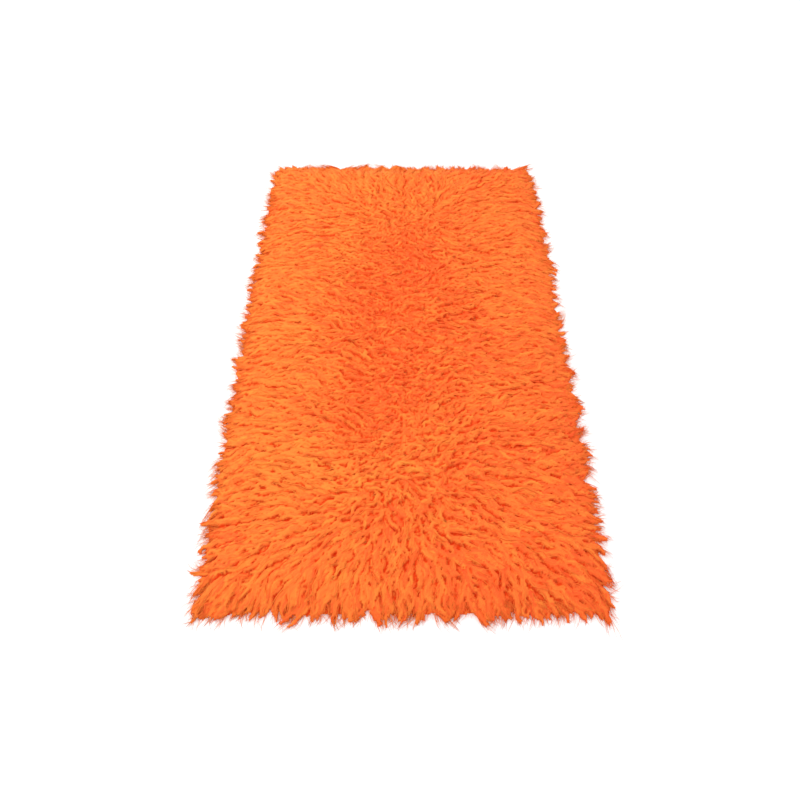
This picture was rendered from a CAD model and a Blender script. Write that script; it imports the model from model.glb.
import math

import bmesh
import bpy
import numpy as np
from mathutils import Matrix, Vector


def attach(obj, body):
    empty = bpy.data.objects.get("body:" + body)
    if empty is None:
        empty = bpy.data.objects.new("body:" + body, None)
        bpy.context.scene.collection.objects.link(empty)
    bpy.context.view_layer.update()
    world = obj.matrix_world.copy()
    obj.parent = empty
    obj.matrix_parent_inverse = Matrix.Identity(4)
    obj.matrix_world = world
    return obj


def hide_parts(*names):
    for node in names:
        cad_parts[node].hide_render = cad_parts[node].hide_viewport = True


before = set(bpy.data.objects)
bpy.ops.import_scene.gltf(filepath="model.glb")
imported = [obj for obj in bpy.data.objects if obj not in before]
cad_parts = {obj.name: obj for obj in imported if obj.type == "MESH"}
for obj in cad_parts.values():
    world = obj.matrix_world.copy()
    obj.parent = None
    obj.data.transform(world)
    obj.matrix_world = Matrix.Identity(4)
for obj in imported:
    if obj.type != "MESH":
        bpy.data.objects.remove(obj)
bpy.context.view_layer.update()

# The camera. It stands past the near end of the rug at about head height and looks down
# its length, so that the far end looks narrower than the near one.
camera_data = bpy.data.cameras.new("near_end_view")
camera_data.sensor_fit = "HORIZONTAL"
camera_data.sensor_width = 36.0
camera_data.lens = 28.78
camera_data.clip_start = 0.05
camera_data.clip_end = 60.0
camera = bpy.data.objects.new("near_end_view", camera_data)
bpy.context.scene.collection.objects.link(camera)
bpy.context.scene.camera = camera
camera_place = Vector((-0.0140, -1.4020, 1.5978))
look_down = math.radians(54.3724)
turn = math.radians(-0.2287)
roll = math.radians(0.4128)
camera.matrix_world = (
    Matrix.Translation(camera_place)
    @ Matrix.Rotation(turn, 4, "Z")
    @ Matrix.Rotation(math.pi / 2 - look_down, 4, "X")
    @ Matrix.Rotation(roll, 4, "Z")
)

# The studio: a smooth white floor, an even white room and one wide soft lamp high up on the
# left, which gives the locks a soft darker side.
scene = bpy.context.scene
scene.view_settings.view_transform = "Standard"
scene.view_settings.look = "None"
room = bpy.data.worlds.new("white_room")
room.use_nodes = True
room.node_tree.nodes["Background"].inputs["Color"].default_value = (1.0, 1.0, 1.0, 1.0)
room.node_tree.nodes["Background"].inputs["Strength"].default_value = 0.97
scene.world = room

floor_paint = bpy.data.materials.new("white_floor")
floor_paint.use_nodes = True
floor_shader = floor_paint.node_tree.nodes["Principled BSDF"]
floor_shader.inputs["Base Color"].default_value = (0.98, 0.98, 0.98, 1.0)
floor_shader.inputs["Roughness"].default_value = 0.8
floor_reach = 14.0
floor_mesh = bmesh.new()
bmesh.ops.create_grid(floor_mesh, x_segments=1, y_segments=1, size=floor_reach)
floor_data = bpy.data.meshes.new("studio_floor")
floor_mesh.to_mesh(floor_data)
floor_mesh.free()
floor_data.materials.append(floor_paint)
floor = bpy.data.objects.new("studio_floor", floor_data)
scene.collection.objects.link(floor)

lamp_data = bpy.data.lights.new("wide_soft_lamp", "AREA")
lamp_data.shape = "RECTANGLE"
lamp_data.size = 2.4
lamp_data.size_y = 2.4
lamp_data.energy = 45.0
lamp = bpy.data.objects.new("wide_soft_lamp", lamp_data)
lamp.location = (-1.3, 0.5, 3.1)
lamp.rotation_euler = (Vector((0.0, 0.0, 0.0)) - lamp.location).to_track_quat("-Z", "Y").to_euler()
scene.collection.objects.link(lamp)

# The woven ground: a stout plain cloth of wool yarn, about 3.5 mm thick, dyed with the pile.
# Only its underside shows, where it lies flat on the floor.
ground_width = 0.985
ground_length = 1.775
ground_thickness = 0.0035
half_width = ground_width / 2
half_length = ground_length / 2


def drift(x, y, span, seed):
    """Smooth random values from -1 to 1 over the rug that change over a distance of span."""
    lattice = np.random.default_rng(seed).uniform(-1, 1, (128, 128))
    a = np.asarray(x) / span
    b = np.asarray(y) / span
    i = np.floor(a).astype(int)
    j = np.floor(b).astype(int)
    u = a - i
    v = b - j
    i = i % 127
    j = j % 127
    u = u * u * (3 - 2 * u)
    v = v * v * (3 - 2 * v)
    near = lattice[i, j] * (1 - u) + lattice[i + 1, j] * u
    far = lattice[i, j + 1] * (1 - u) + lattice[i + 1, j + 1] * u
    return near * (1 - v) + far * v


def add_piece(name, mesh_data, material):
    """Puts a finished mesh in the scene as a piece of the rug."""
    mesh_data.materials.append(material)
    piece = bpy.data.objects.new(name, mesh_data)
    scene.collection.objects.link(piece)
    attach(piece, "root")
    return piece


ground_wool = bpy.data.materials.new("woven_orange_wool")
ground_wool.use_nodes = True
nodes = ground_wool.node_tree.nodes
links = ground_wool.node_tree.links
shader = nodes["Principled BSDF"]
shader.inputs["Roughness"].default_value = 0.95
shader.inputs["Specular IOR Level"].default_value = 0.12
ground_place = nodes.new("ShaderNodeTexCoord")
yarns = nodes.new("ShaderNodeMath")
yarns.operation = "MULTIPLY"
for socket, direction in enumerate(("X", "Y")):
    yarn = nodes.new("ShaderNodeTexWave")
    yarn.bands_direction = direction
    yarn.inputs["Scale"].default_value = 60.0
    yarn.inputs["Distortion"].default_value = 1.2
    yarn.inputs["Detail"].default_value = 2.0
    links.new(ground_place.outputs["Object"], yarn.inputs["Vector"])
    links.new(yarn.outputs["Fac"], yarns.inputs[socket])
yarn_shades = nodes.new("ShaderNodeValToRGB")
yarn_shades.color_ramp.elements[0].color = (0.70, 0.085, 0.012, 1.0)
yarn_shades.color_ramp.elements[1].color = (0.92, 0.21, 0.035, 1.0)
links.new(yarns.outputs["Value"], yarn_shades.inputs["Fac"])
links.new(yarn_shades.outputs["Color"], shader.inputs["Base Color"])
yarn_bump = nodes.new("ShaderNodeBump")
yarn_bump.inputs["Strength"].default_value = 0.6
yarn_bump.inputs["Distance"].default_value = 0.0012
links.new(yarns.outputs["Value"], yarn_bump.inputs["Height"])
links.new(yarn_bump.outputs["Normal"], shader.inputs["Normal"])

ground_mesh = bmesh.new()
bmesh.ops.create_grid(ground_mesh, x_segments=24, y_segments=44, size=1)
bmesh.ops.scale(ground_mesh, vec=(half_width, half_length, 1), verts=ground_mesh.verts)
walls = bmesh.ops.extrude_face_region(ground_mesh, geom=ground_mesh.faces[:])["geom"]
top = [item for item in walls if isinstance(item, bmesh.types.BMVert)]
bmesh.ops.translate(ground_mesh, vec=(0, 0, ground_thickness), verts=top)
bmesh.ops.recalc_face_normals(ground_mesh, faces=ground_mesh.faces)
ground_data = bpy.data.meshes.new("woven_ground")
ground_mesh.to_mesh(ground_data)
ground_mesh.free()
ground = add_piece("woven_ground", ground_data, ground_wool)

# How the pile lies: the way each bunch of locks is brushed, and the level that it lies at.
# The pile is brushed out from the rug's middle line, and rolls down to the floor at the rim.
pile_level = 0.036
roll_inside = 0.070
roll_outside = 0.050


def pile_floor(x, y):
    """The height at which locks lie at each place: full in the field, and falling over the rim."""
    inside = np.minimum(half_width - np.abs(x), half_length - np.abs(y))
    part = np.clip((inside + roll_outside) / (roll_inside + roll_outside), 0, 1)
    level = pile_level * (0.08 + 0.92 * part * part * (3 - 2 * part))
    return level * (1 + 0.10 * drift(x, y, 0.09, 3))


def brushed(x, y):
    """The angle in which the pile is brushed: to the sides, and over the ends towards them."""
    to_end = np.maximum(half_length - np.abs(y), 0)
    along = np.sign(y) * 2.2 * np.exp(-to_end / 0.09) * (1 - 0.55 * (x / half_width) ** 4)
    return np.arctan2(along, x / half_width)


def ruffled(x, y):
    """From 0 where the brushing is even to 1 on the rug's middle line, where locks lie every way."""
    off_x = np.abs(x) / half_width
    off_y = np.maximum(np.abs(y) - 0.38, 0) / (half_length - 0.38)
    return np.clip(1 - np.hypot(off_x / 0.62, off_y / 0.95), 0, 1)


bunch_pitch = 0.0195
chance = np.random.default_rng(7)
rows = int(round(ground_length / (bunch_pitch * 0.9)))
columns = int(round(ground_width / bunch_pitch))
row, column = np.mgrid[0 : rows + 1, 0 : columns + 1]
bunch_x = ((column + 0.5 * (row % 2)) / columns - 0.5).ravel() * ground_width
bunch_y = (row / rows - 0.5).ravel() * ground_length
bunch_x = bunch_x + chance.uniform(-0.42, 0.42, bunch_x.size) * bunch_pitch
bunch_y = bunch_y + chance.uniform(-0.42, 0.42, bunch_y.size) * bunch_pitch
inset = 0.004
bunch_x = np.clip(bunch_x, inset - half_width, half_width - inset)
bunch_y = np.clip(bunch_y, inset - half_length, half_length - inset)
bunches = bunch_x.size
ruffle = ruffled(bunch_x, bunch_y)

# The locks of the rim. The edge of the pile parts into locks, pointed along the sides and
# broader and rounder at the two ends, each with its own reach and its own bend, and the
# strands along the rim run together into them.
rim_ways = np.array([0, ground_width, ground_width + ground_length, 2 * ground_width + ground_length])
rim_ways = np.append(rim_ways, 2 * (ground_width + ground_length))


def on_rim(way):
    """Places on the ground's edge, for ways walked round it from the near left corner."""
    way = np.mod(way, rim_ways[-1])
    x = np.interp(way, rim_ways, [-half_width, half_width, half_width, -half_width, -half_width])
    y = np.interp(way, rim_ways, [-half_length, -half_length, half_length, half_length, -half_length])
    return np.stack([x, y], axis=-1)


def locks_between(start, end, narrow, wide):
    """Ways to the middles of locks between two corners, for locks from narrow to wide."""
    steps = chance.uniform(narrow, wide, 200)
    ways = start + np.cumsum(steps) - steps / 2
    return ways[ways < end]


lock_way = np.concatenate(
    [
        locks_between(rim_ways[0], rim_ways[1], 0.026, 0.064),
        locks_between(rim_ways[1], rim_ways[2], 0.012, 0.036),
        locks_between(rim_ways[2], rim_ways[3], 0.026, 0.064),
        locks_between(rim_ways[3], rim_ways[4], 0.012, 0.036),
    ]
)
lock_place = on_rim(lock_way)
lock_side = on_rim(lock_way + 0.004) - on_rim(lock_way - 0.004)
lock_side /= np.linalg.norm(lock_side, axis=1, keepdims=True)
lock_at_end = np.abs(lock_place[:, 1]) > half_length - 0.001
lock_reach = chance.uniform(-1, 1, lock_way.size) * np.where(lock_at_end, 0.09, 0.18)
lock_reach += np.where(lock_at_end, 1.0, 0.94)
lock_close = np.where(lock_at_end, 0.55, 1.0)
lock_bend = chance.normal(0, 0.25, lock_way.size)


def into_locks(path, closing):
    """Draws the part of each path that is past the ground's edge into the nearest lock of the rim."""
    over = np.maximum(np.abs(path[:, :, :2]) - (half_width, half_length), 0)
    outside = np.hypot(over[:, :, 0], over[:, :, 1])
    crossing = np.flatnonzero(outside.max(axis=1) > 0)
    first = np.argmax(outside[crossing] > 0, axis=1)
    root = np.clip(path[crossing, first, :2], (-half_width, -half_length), (half_width, half_length))
    away = np.linalg.norm(root[:, None] - lock_place[None], axis=2)
    lock = np.argmin(away, axis=1)
    aside = np.clip(away.min(axis=1) / np.where(lock_at_end[lock], 0.024, 0.016), 0, 1)
    past = outside[crossing][..., None]
    reach = (lock_reach[lock] * (1.0 - 0.22 * aside**2))[:, None, None]
    drawn = root[:, None] + (path[crossing, :, :2] - root[:, None]) * reach
    pull = (lock_place[lock] - root) * lock_close[lock, None] * closing
    drawn += pull[:, None] * np.clip(past / 0.040, 0, 1)
    drawn += (lock_side[lock] * lock_bend[lock, None])[:, None] * past**2 / 0.045
    path[crossing, :, :2] = np.where(past > 0, drawn, path[crossing, :, :2])


# The strands of roving: soft felted tapers, 4 mm wide one by one and 11 mm as a lock. A path
# starts in the pile, comes up through it and lies over, wandering a little, and the strands
# of a bunch run together towards its tip.
stations = np.linspace(0, 1, 13)
taper = np.interp(stations, [0.0, 0.15, 0.45, 0.70, 0.88, 1.0], [0.80, 1.0, 0.97, 0.74, 0.40, 0.0])
strand_length = 0.072
strand_half_width = 0.0022
strand_half_thickness = 0.0012
lock_half_width = 0.0054
lock_half_thickness = 0.0031
rim_strip = 0.035

swirl = drift(bunch_x, bunch_y, 0.12, 11) * (0.22 + 0.9 * ruffle)
swirl = swirl + drift(bunch_x, bunch_y, 0.045, 12) * (0.12 + 0.6 * ruffle)
swirl = swirl + chance.normal(0, 0.08, bunches) * (1 + 3 * ruffle)
parting = chance.normal(0, 0.13, (2, bunches)) * np.clip(ruffle * 1.6, 0, 1)
bunch_heading = brushed(bunch_x + parting[0], bunch_y + parting[1]) + swirl
to_edge = np.minimum(half_width - np.abs(bunch_x), half_length - np.abs(bunch_y))
to_corner = np.hypot(half_width - np.abs(bunch_x), half_length - np.abs(bunch_y))
bunch_length = strand_length * chance.uniform(0.84, 1.16, bunches) * (1 - 0.42 * ruffle)
bunch_length *= 1 + 0.08 * np.exp(-((to_corner / 0.06) ** 2))
bunch_length *= np.where(to_edge < 0.02, 0.88, 1.0)
bunch_lift = chance.normal(0, 0.0017, bunches)
bunch_size = chance.uniform(0.75, 1.25, bunches) * (1 - 0.42 * ruffle)
bunch_size *= np.where(to_edge < rim_strip, 0.95, 1.0)
wave_count = 1.5 + 0.6 * drift(bunch_x, bunch_y, 0.09, 13) + chance.uniform(0, 1, bunches) * ruffle
wave_start = drift(bunch_x, bunch_y, 0.07, 14) + chance.uniform(-0.5, 0.5, bunches) * (0.15 + ruffle)
wave_swing = chance.uniform(0.25, 0.75, bunches) * (1 + 0.5 * ruffle)
bunch_curl = drift(bunch_x, bunch_y, 0.06, 15) * 0.5 + chance.normal(0, 0.14, bunches) * (1 + ruffle)
first_slope = np.radians(14 + 8 * ruffle)
last_slope = np.radians(-9 + 8 * ruffle + chance.normal(0, 4, bunches))


def strands_of(owner, wander, aside, lift):
    """Paths of strands, as points at the stations, for the bunch that owns each and its place in it."""
    count = owner.size
    middles = (stations[1:] + stations[:-1]) / 2
    turn = wave_swing[owner, None] * np.sin(
        2 * math.pi * (wave_count[owner, None] * middles + wave_start[owner, None])
    )
    own_turn = chance.normal(0, 1, (count, middles.size)) * wander
    heading = bunch_heading[owner, None] + bunch_curl[owner, None] * middles + turn + own_turn
    slope = first_slope[owner, None] + (last_slope - first_slope)[owner, None] * middles
    length = bunch_length[owner] * chance.uniform(1 - 1.5 * wander, 1 + wander, count)
    run = length[:, None] * np.diff(stations)
    moves = np.stack(
        [run * np.cos(slope) * np.cos(heading), run * np.cos(slope) * np.sin(heading), run * np.sin(slope)],
        axis=2,
    )
    path = np.concatenate([np.zeros((count, 1, 3)), np.cumsum(moves, axis=1)], axis=1)
    side_angle = bunch_heading[owner] + math.pi / 2
    gather = 1 - 0.75 * stations**1.5
    spread = (aside * lock_half_width * bunch_size[owner])[:, None] * gather
    start = chance.uniform(-1, 1, count) * bunch_pitch * wander
    path[:, :, 0] += (bunch_x[owner] + start * np.cos(bunch_heading[owner]))[:, None]
    path[:, :, 1] += (bunch_y[owner] + start * np.sin(bunch_heading[owner]))[:, None]
    path[:, :, 0] += np.cos(side_angle)[:, None] * spread
    path[:, :, 1] += np.sin(side_angle)[:, None] * spread
    into_locks(path, 0.55)
    on_back = lock_half_thickness * np.sqrt(np.clip(1 - aside**2, 0, 1)) * np.abs(np.sign(aside))
    rise = (bunch_lift[owner] + lift)[:, None] * stations**0.5 + on_back[:, None] * gather
    path[:, :, 2] += pile_floor(path[:, :, 0], path[:, :, 1]) - 0.006 + rise
    return path


# The wool of the pile. The dye has taken unevenly: yellower in a few patches on the left,
# redder in the middle, on the right and at the near end, and reddest down between the locks.
# Each strand has its own tone, and fine fibres run along it.


def dye_tone(x, y):
    """How yellow the dye is at each place, about 0.4 on the whole, less where it is redder."""
    tone = 0.43 - 0.07 * x / half_width + 0.05 * y / half_length - 0.15 * ruffled(x, y)
    tone = tone + 0.07 * drift(x, y, 0.30, 31) + 0.05 * drift(x, y, 0.11, 32)
    for middle_x, middle_y, reach_x, reach_y, more in (
        (-0.25, -0.50, 0.20, 0.11, 0.22),
        (-0.19, 0.42, 0.07, 0.16, 0.18),
        (-0.25, 0.68, 0.30, 0.20, 0.10),
        (0.03, -0.47, 0.08, 0.13, 0.14),
        (-0.38, 0.05, 0.12, 0.30, 0.09),
    ):
        tone = tone + more * np.exp(-(((x - middle_x) / reach_x) ** 2) - ((y - middle_y) / reach_y) ** 2)
    return tone


wool = bpy.data.materials.new("dyed_wool")
wool.use_nodes = True
nodes = wool.node_tree.nodes
links = wool.node_tree.links
shader = nodes["Principled BSDF"]
shader.inputs["Roughness"].default_value = 0.95
shader.inputs["Sheen Weight"].default_value = 0.15
shader.inputs["Sheen Roughness"].default_value = 0.5
shader.inputs["Sheen Tint"].default_value = (1.0, 0.32, 0.10, 1.0)
shader.inputs["Specular IOR Level"].default_value = 0.12
tone_node = nodes.new("ShaderNodeAttribute")
tone_node.attribute_name = "tone"
strand_node = nodes.new("ShaderNodeAttribute")
strand_node.attribute_name = "strand"
stretch = nodes.new("ShaderNodeMapping")
stretch.inputs["Scale"].default_value = (240.0, 30.0, 1.0)
links.new(strand_node.outputs["Vector"], stretch.inputs["Vector"])
fibres = nodes.new("ShaderNodeTexNoise")
fibres.inputs["Scale"].default_value = 1.0
fibres.inputs["Detail"].default_value = 4.0
fibres.inputs["Roughness"].default_value = 0.6
fibres.inputs["Distortion"].default_value = 0.6
links.new(stretch.outputs["Vector"], fibres.inputs["Vector"])
depth_node = nodes.new("ShaderNodeAttribute")
depth_node.attribute_name = "depth"
fibre_tone = nodes.new("ShaderNodeMapRange")
fibre_tone.inputs["From Min"].default_value = 0.25
fibre_tone.inputs["From Max"].default_value = 0.75
fibre_tone.inputs["To Min"].default_value = -0.36
fibre_tone.inputs["To Max"].default_value = 0.36
links.new(fibres.outputs["Fac"], fibre_tone.inputs["Value"])
whole_tone = nodes.new("ShaderNodeMath")
whole_tone.operation = "ADD"
links.new(tone_node.outputs["Fac"], whole_tone.inputs[0])
links.new(fibre_tone.outputs["Result"], whole_tone.inputs[1])
shades = nodes.new("ShaderNodeValToRGB")
shades.color_ramp.elements[0].position = 0.0
shades.color_ramp.elements[0].color = (0.945, 0.099, 0.024, 1.0)
shades.color_ramp.elements[1].position = 1.0
shades.color_ramp.elements[1].color = (0.96, 0.298, 0.045, 1.0)
links.new(whole_tone.outputs["Value"], shades.inputs["Fac"])
sunken = nodes.new("ShaderNodeMix")
sunken.data_type = "RGBA"
links.new(depth_node.outputs["Fac"], sunken.inputs[0])
links.new(shades.outputs["Color"], sunken.inputs[6])
sunken.inputs[7].default_value = (0.80, 0.050, 0.004, 1.0)
links.new(sunken.outputs[2], shader.inputs["Base Color"])
nap = nodes.new("ShaderNodeBump")
nap.inputs["Strength"].default_value = 0.5
nap.inputs["Distance"].default_value = 0.0022
links.new(fibres.outputs["Fac"], nap.inputs["Height"])
links.new(nap.outputs["Normal"], shader.inputs["Normal"])

# The fleece: the body of the pile, where the strands have felted into one soft surface with
# thin creases between the bunches. Its relief is the upper side of all the locks and strands
# in it, over a folded base that reaches a little past the ground's edge.
fleece_cell = 0.0033
fleece_overhang = 0.066
fleece_floor = 0.0006
fleece_across = 2 * int(round((half_width + fleece_overhang) / fleece_cell))
fleece_along = 2 * int(round((half_length + fleece_overhang) / fleece_cell))
grid_x = (np.arange(fleece_across + 1) - fleece_across / 2) * fleece_cell
grid_y = (np.arange(fleece_along + 1) - fleece_along / 2) * fleece_cell
mesh_x, mesh_y = np.meshgrid(grid_x, grid_y, indexing="ij")
mesh_ruffle = ruffled(mesh_x, mesh_y)
base_below = 0.0050
fold_depth = 0.0012
relief = pile_floor(mesh_x, mesh_y) - base_below + 0.0016 * mesh_ruffle
folds = np.minimum(np.abs(drift(mesh_x, mesh_y, 0.021, 4)), np.abs(drift(mesh_x, mesh_y, 0.016, 6)))
relief = relief + (fold_depth + fold_depth * mesh_ruffle) * (2 * np.clip(folds / 0.14, 0, 1) - 1)
on_ground = (np.abs(mesh_x) < half_width - inset) & (np.abs(mesh_y) < half_length - inset)
past_side = np.maximum(np.abs(mesh_x) - half_width, 0)
past_end = np.maximum(np.abs(mesh_y) - half_length, 0)
skirt_reach = 0.024
skirt_wander = 0.009
skirt = np.hypot(past_side, past_end) < skirt_reach + skirt_wander * drift(mesh_x, mesh_y, 0.022, 5)
relief = np.where(skirt, relief, 0.0)
relief_tone = dye_tone(mesh_x, mesh_y)
relief_strand = np.stack([mesh_x, mesh_y, np.zeros(relief.shape)], axis=2)


def press_in(path, half_width_mid, half_thickness_mid, tones):
    """Lays strands into the fleece's relief, and notes for each spot which strand is uppermost there."""
    samples = 36
    stamp_reach = int(half_width_mid.max() / fleece_cell + 1)
    stamp = range(-stamp_reach, stamp_reach + 1)
    spots = np.linspace(0, 1, samples)
    before = np.clip(np.searchsorted(stations, spots, side="right") - 1, 0, stations.size - 2)
    part = (spots - stations[before]) * (stations.size - 1)
    points = path[:, before] * (1 - part)[None, :, None] + path[:, before + 1] * part[None, :, None]
    slim = taper[before] * (1 - part) + taper[before + 1] * part
    wide = half_width_mid[:, None] * slim + 0.0006
    thick = half_thickness_mid[:, None] * slim
    ahead = np.gradient(points[:, :, :2], axis=1)
    ahead /= np.linalg.norm(ahead, axis=2, keepdims=True) + 1e-9
    nearest_i = np.round((points[:, :, 0] - grid_x[0]) / fleece_cell).astype(int)
    nearest_j = np.round((points[:, :, 1] - grid_y[0]) / fleece_cell).astype(int)
    run = np.broadcast_to(spots * strand_length, wide.shape)
    marks = np.broadcast_to(tones[:, None], wide.shape)
    hits = []
    for di in stamp:
        for dj in stamp:
            i = nearest_i + di
            j = nearest_j + dj
            on_grid = (i >= 0) & (i <= fleece_across) & (j >= 0) & (j <= fleece_along)
            i = np.clip(i, 0, fleece_across)
            j = np.clip(j, 0, fleece_along)
            dx = grid_x[i] - points[:, :, 0]
            dy = grid_y[j] - points[:, :, 1]
            share = 1 - (dx * dx + dy * dy) / wide**2
            under = on_grid & (share > 0)
            top = points[:, :, 2] + thick * np.sqrt(np.maximum(share, 0))
            offset = dy * ahead[:, :, 0] - dx * ahead[:, :, 1]
            index = (i * (fleece_along + 1) + j)[under]
            hits.append((index, top[under], marks[under], offset[under], run[under]))
            np.maximum.at(relief.reshape(-1), index, top[under])
    for index, top, mark, offset, along in hits:
        won = top >= relief.reshape(-1)[index] - 1e-9
        relief_tone.reshape(-1)[index[won]] = mark[won]
        relief_strand.reshape(-1, 3)[index[won]] = np.stack([offset[won], along[won], mark[won] * 9], axis=1)


bunch_tone = dye_tone(bunch_x, bunch_y) + chance.normal(0, 0.09, bunches)
bodies = np.arange(bunches)
body_paths = strands_of(bodies, 0.0, np.zeros(bunches), np.zeros(bunches))
press_in(body_paths, lock_half_width * bunch_size, lock_half_thickness * bunch_size, bunch_tone)

felted_in_bunch = 5
felted_owner = np.repeat(bodies, felted_in_bunch)
felted = strands_of(
    felted_owner,
    0.14,
    chance.uniform(-1.15, 1.15, felted_owner.size),
    chance.normal(0, 0.0006, felted_owner.size),
)
felted_tone = np.clip(bunch_tone[felted_owner] + chance.normal(0, 0.11, felted_owner.size), 0, 1)
felted_size = chance.uniform(0.8, 1.3, felted_owner.size)
press_in(felted, strand_half_width * felted_size, strand_half_thickness * felted_size, felted_tone)


def averaged(heights, turns):
    """Heights with each spot drawn level with its neighbours, a number of times."""
    for turn in range(turns):
        padded = np.pad(heights, 1, mode="edge")
        heights = (padded[:-2, 1:-1] + padded[2:, 1:-1] + padded[1:-1, :-2] + padded[1:-1, 2:]) / 4
    return heights


def grown(seed, allowed, turns):
    """A mask that spreads from its cells to the neighbours that are allowed."""
    for turn in range(turns):
        padded = np.pad(seed, 1)
        seed = seed | padded[:-2, 1:-1] | padded[2:, 1:-1] | padded[1:-1, :-2] | padded[1:-1, 2:]
        seed = seed & allowed
    return seed


crease_from = 0.0006
crease_full = 0.0015
depth = np.clip((averaged(relief, 4) - relief - crease_from) / crease_full, 0, 1)
depth = depth * (1 - 0.15 * mesh_ruffle)

# The fleece's edge. It covers all the cells that hang together with the ground, without holes
# and without cells that meet only at a corner, so that its edge is one line.
edge_passes = 60
touched = relief > fleece_floor + 0.0004
touched = touched[:-1, :-1] & touched[1:, :-1] & touched[:-1, 1:] & touched[1:, 1:]
border = np.ones(touched.shape, dtype=bool)
border[1:-1, 1:-1] = False
outside_cells = grown(border, ~touched | border, edge_passes)
body_cells = grown(on_ground[:-1, :-1], ~outside_cells, edge_passes)
for turn in range(3):
    falling = body_cells[:-1, :-1] & body_cells[1:, 1:] & ~body_cells[1:, :-1] & ~body_cells[:-1, 1:]
    rising = body_cells[1:, :-1] & body_cells[:-1, 1:] & ~body_cells[:-1, :-1] & ~body_cells[1:, 1:]
    body_cells[1:, :-1] |= falling
    body_cells[:-1, :-1] |= rising
relief = np.maximum(relief, fleece_floor + 0.0014)

middle_row = fleece_along // 2
for end, from_row, to_row in (("near", 0, middle_row), ("far", middle_row, fleece_along)):
    fleece_mesh = bmesh.new()
    rows_here = to_row - from_row
    bmesh.ops.create_grid(fleece_mesh, x_segments=fleece_across, y_segments=rows_here, size=1)
    i = np.array([round((vertex.co.x + 1) / 2 * fleece_across) for vertex in fleece_mesh.verts])
    j = np.array([round((vertex.co.y + 1) / 2 * rows_here) for vertex in fleece_mesh.verts]) + from_row
    tone_layer = fleece_mesh.verts.layers.float.new("tone")
    depth_layer = fleece_mesh.verts.layers.float.new("depth")
    strand_layer = fleece_mesh.verts.layers.float_vector.new("strand")
    places = np.stack([grid_x[i], grid_y[j], relief[i, j]], axis=1)
    here_tone = relief_tone[i, j]
    here_depth = depth[i, j]
    here_strand = relief_strand[i, j]
    values = zip(fleece_mesh.verts, places, here_tone, here_depth, here_strand)
    for vertex, place, tone, sunk, strand in values:
        vertex.co = place
        vertex[tone_layer] = tone
        vertex[depth_layer] = sunk
        vertex[strand_layer] = strand
    bare = [
        face
        for face in fleece_mesh.faces
        if not body_cells[min(i[v.index] for v in face.verts), min(j[v.index] for v in face.verts)]
    ]
    bmesh.ops.delete(fleece_mesh, geom=bare, context="FACES")
    rim = [edge for edge in fleece_mesh.edges if edge.is_boundary]
    made = bmesh.ops.extrude_edge_only(fleece_mesh, edges=rim)["geom"]
    for vertex in (item for item in made if isinstance(item, bmesh.types.BMVert)):
        vertex.co.z = fleece_floor
    under = [edge for edge in fleece_mesh.edges if edge.is_boundary]
    bmesh.ops.triangle_fill(fleece_mesh, edges=under, use_beauty=False, use_dissolve=False)
    bmesh.ops.recalc_face_normals(fleece_mesh, faces=fleece_mesh.faces)
    fleece_data = bpy.data.meshes.new("fleece_" + end)
    fleece_mesh.to_mesh(fleece_data)
    fleece_mesh.free()
    fleece_data.shade_smooth()
    piece = add_piece("fleece_" + end, fleece_data, wool)
    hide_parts("shag_rug")


# The loose strands: two of each bunch in the field and four along the rim. They lie on top of
# the fleece with free tips, and those of the rim hang over the ground's edge on to the floor.
loose_in_field = 2
loose_at_rim = 4


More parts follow.
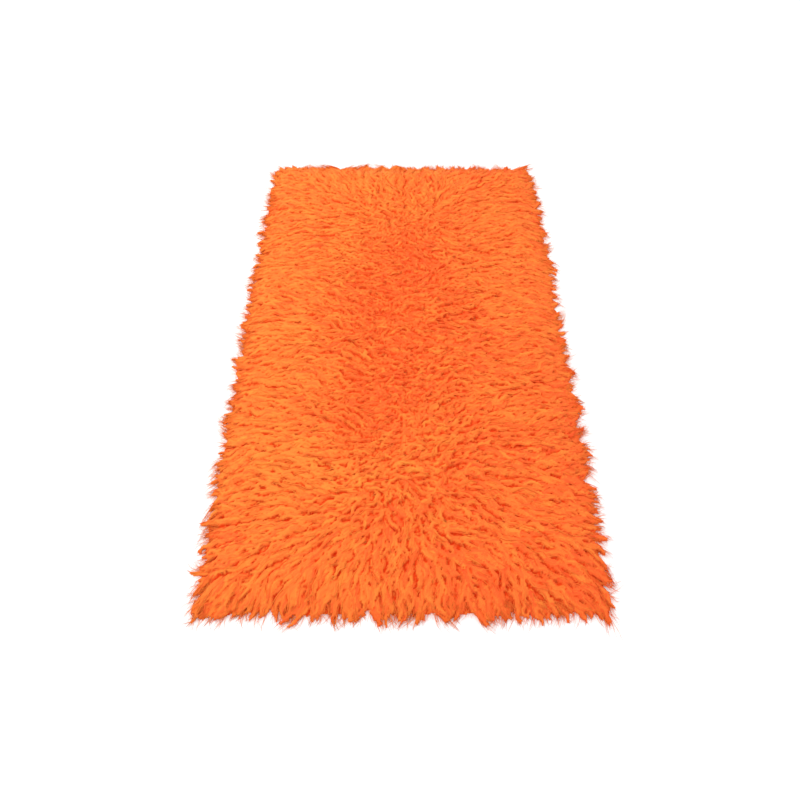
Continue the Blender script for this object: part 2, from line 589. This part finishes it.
def tube_mesh(name, path, half_widths, half_thicknesses, sides, tone):
    """Joins closed tapering tubes into one mesh."""
    count, length = path.shape[:2]
    rings = length - 1
    path = path.copy()
    path[:, :, 2] = np.maximum(path[:, :, 2], half_thicknesses + 0.001)
    tangent = np.gradient(path, axis=1)
    tangent /= np.linalg.norm(tangent, axis=2, keepdims=True)
    up = np.array([0.0, 0.0, 1.0])
    across = np.cross(tangent, up)
    across /= np.linalg.norm(across, axis=2, keepdims=True)
    over = np.cross(across, tangent)
    turn = 2 * math.pi * np.arange(sides) / sides
    ring_points = (
        path[:, :rings, None, :]
        + across[:, :rings, None, :] * (half_widths[:, :rings, None] * np.cos(turn))[..., None]
        + over[:, :rings, None, :] * (half_thicknesses[:, :rings, None] * np.sin(turn))[..., None]
    )
    per_tube = rings * sides + 1
    points = np.concatenate([ring_points.reshape(count, rings * sides, 3), path[:, -1:, :]], axis=1)
    base = (np.arange(count) * per_tube)[:, None, None]
    ring = np.arange(rings - 1)[:, None] * sides
    here = np.arange(sides)
    following = (here + 1) % sides
    quads = np.stack([ring + here, ring + sides + here, ring + sides + following, ring + following], axis=2)
    quads = (base[..., None] + quads[None]).reshape(-1, 4)
    last = (rings - 1) * sides
    tips = np.stack([last + here, np.full(sides, rings * sides), last + following], axis=1)
    tips = (base + tips[None]).reshape(-1, 3)
    caps = (base[:, :, 0] + here[None]).reshape(-1, sides)
    data = bpy.data.meshes.new(name)
    data.from_pydata(points.reshape(-1, 3).tolist(), [], quads.tolist() + tips.tolist() + caps.tolist())
    tones = data.attributes.new("tone", "FLOAT", "POINT")
    tones.data.foreach_set("value", np.repeat(tone, per_tube).astype(np.float32))
    depths = data.attributes.new("depth", "FLOAT", "POINT")
    root_depth = np.clip(0.6 - 3.0 * np.linspace(0, 1, length), 0, 1)[:rings]
    depths.data.foreach_set("value", np.tile(np.append(np.repeat(root_depth, sides), 0.0), count))
    offset = (half_widths[:, :rings, None] * np.cos(turn)).reshape(count, -1)
    offset = np.concatenate([offset, np.zeros((count, 1))], axis=1)
    run = np.concatenate([np.repeat(np.linspace(0, 1, length)[:rings], sides), [1.0]]) * strand_length
    run = np.broadcast_to(run, offset.shape)
    own = np.broadcast_to(9 * tone[:, None], offset.shape)
    strands = data.attributes.new("strand", "FLOAT_VECTOR", "POINT")
    strands.data.foreach_set("vector", np.stack([offset, run, own], axis=2).astype(np.float32).ravel())
    data.shade_smooth()
    return data


loose_in_bunch = np.where(to_edge < rim_strip, loose_at_rim, loose_in_field)
loose_owner = np.repeat(bodies, loose_in_bunch)
loose = strands_of(
    loose_owner,
    0.24,
    chance.uniform(-1.2, 1.2, loose_owner.size),
    chance.normal(0.0012, 0.0012, loose_owner.size),
)[:, ::3]
loose_size = chance.uniform(0.7, 1.4, loose_owner.size)
loose_width = 0.0016 * loose_size[:, None] * taper[::3]
loose_thickness = 0.0013 * loose_size[:, None] * taper[::3]
loose_tone = np.clip(bunch_tone[loose_owner] + chance.normal(0.02, 0.13, loose_owner.size), 0, 1)
quarters = {
    "near_left": (bunch_x < 0) & (bunch_y < 0),
    "near_right": (bunch_x >= 0) & (bunch_y < 0),
    "far_left": (bunch_x < 0) & (bunch_y >= 0),
    "far_right": (bunch_x >= 0) & (bunch_y >= 0),
}
for quarter, in_quarter in quarters.items():
    chosen = in_quarter[loose_owner]
    data = tube_mesh(
        "strands_" + quarter,
        loose[chosen],
        loose_width[chosen],
        loose_thickness[chosen],
        3,
        loose_tone[chosen],
    )
    piece = add_piece("strands_" + quarter, data, wool)
    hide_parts("shag_rug")

# The fine fibres: single wool fibres and wisps that stand off the locks as a soft fuzz, and
# along the rim the thin ends of the locks, which reach furthest over the floor.
fuzz = 3200
fuzz_stations = np.linspace(0, 1, 5)
fuzz_taper = np.array([1.0, 0.9, 0.7, 0.45, 0.0])


def fibres_from(start_x, start_y, angle, length, low_slope, high_slope, curl):
    """Paths of single curling fibres that start on the pile."""
    count = start_x.size
    turn = np.cumsum(chance.normal(0, curl, (count, 4)), axis=1)
    heading = angle[:, None] + turn
    slope = np.radians(chance.uniform(low_slope, high_slope, (count, 4)))
    run = length[:, None] * np.diff(fuzz_stations)
    moves = np.stack(
        [run * np.cos(slope) * np.cos(heading), run * np.cos(slope) * np.sin(heading), run * np.sin(slope)],
        axis=2,
    )
    path = np.concatenate([np.zeros((count, 1, 3)), np.cumsum(moves, axis=1)], axis=1)
    path[:, :, 0] += start_x[:, None]
    path[:, :, 1] += start_y[:, None]
    into_locks(path, 0.45)
    path[:, :, 2] += pile_floor(path[:, :, 0], path[:, :, 1])
    return path


fuzz_x = chance.uniform(-half_width, half_width, fuzz)
fuzz_y = chance.uniform(-half_length, half_length, fuzz)
fuzz_path = fibres_from(
    fuzz_x,
    fuzz_y,
    brushed(fuzz_x, fuzz_y) + chance.normal(0, 0.7, fuzz),
    chance.uniform(0.018, 0.040, fuzz),
    -10,
    24,
    0.45,
)
fuzz_width = 0.0005 * chance.uniform(0.8, 1.5, fuzz)[:, None] * fuzz_taper
fuzz_tone = dye_tone(fuzz_x, fuzz_y) + chance.uniform(0, 0.3, fuzz)
fuzz_data = tube_mesh("loose_fibres", fuzz_path, fuzz_width, fuzz_width, 3, fuzz_tone)
fuzz_piece = add_piece("loose_fibres", fuzz_data, wool)
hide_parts("shag_rug")

wisps = 4600
wisp_root = on_rim(chance.uniform(0, rim_ways[-1], wisps)) * chance.uniform(0.985, 1.0, (wisps, 1))
wisp_x = wisp_root[:, 0]
wisp_y = wisp_root[:, 1]
wisp_path = fibres_from(
    wisp_x,
    wisp_y,
    brushed(wisp_x, wisp_y) + drift(wisp_x, wisp_y, 0.05, 21) * 0.5 + chance.normal(0, 0.30, wisps),
    chance.uniform(0.046, 0.086, wisps),
    -12,
    10,
    0.22,
)
wisp_width = 0.0006 * chance.uniform(0.7, 1.6, wisps)[:, None] * fuzz_taper
wisp_tone = dye_tone(wisp_x, wisp_y) + chance.uniform(0, 0.3, wisps)
wisp_data = tube_mesh("rim_wisps", wisp_path, wisp_width, wisp_width, 3, wisp_tone)
wisp_piece = add_piece("rim_wisps", wisp_data, wool)
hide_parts("shag_rug")
